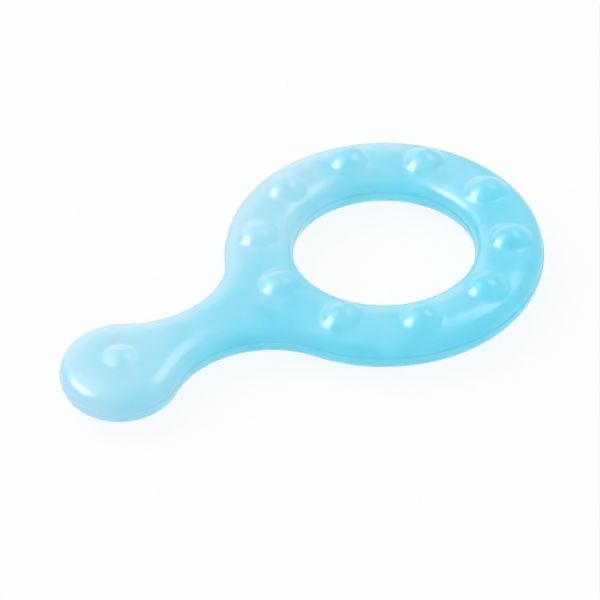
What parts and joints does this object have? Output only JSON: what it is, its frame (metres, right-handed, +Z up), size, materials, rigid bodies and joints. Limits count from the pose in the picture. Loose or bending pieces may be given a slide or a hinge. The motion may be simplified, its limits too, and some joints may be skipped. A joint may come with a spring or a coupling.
{
  "type": "teething ring",
  "caption": "Liquid-filled teething ring with a short bulb-ended handle and domed nubs on both faces.",
  "frame": {"origin": "middle of the whole part's footprint, on the surface that it rests on", "axes": "+X from the handle towards the ring along the overall length, +Z up through the ring's faces, with the nubs' flats on z = 0"},
  "size_m": [0.125, 0.0754, 0.0147],
  "materials": {
    "shell": "smooth glossy translucent EVA",
    "liquid": "clear tinted cooling liquid",
    "plug": "smooth soft plug"
  },
  "bodies": {
    "root": {"upper_shell": "shell", "lower_shell": "shell", "cooling_liquid": "liquid", "fill_plug": "plug"}
  },
  "joints": []
}
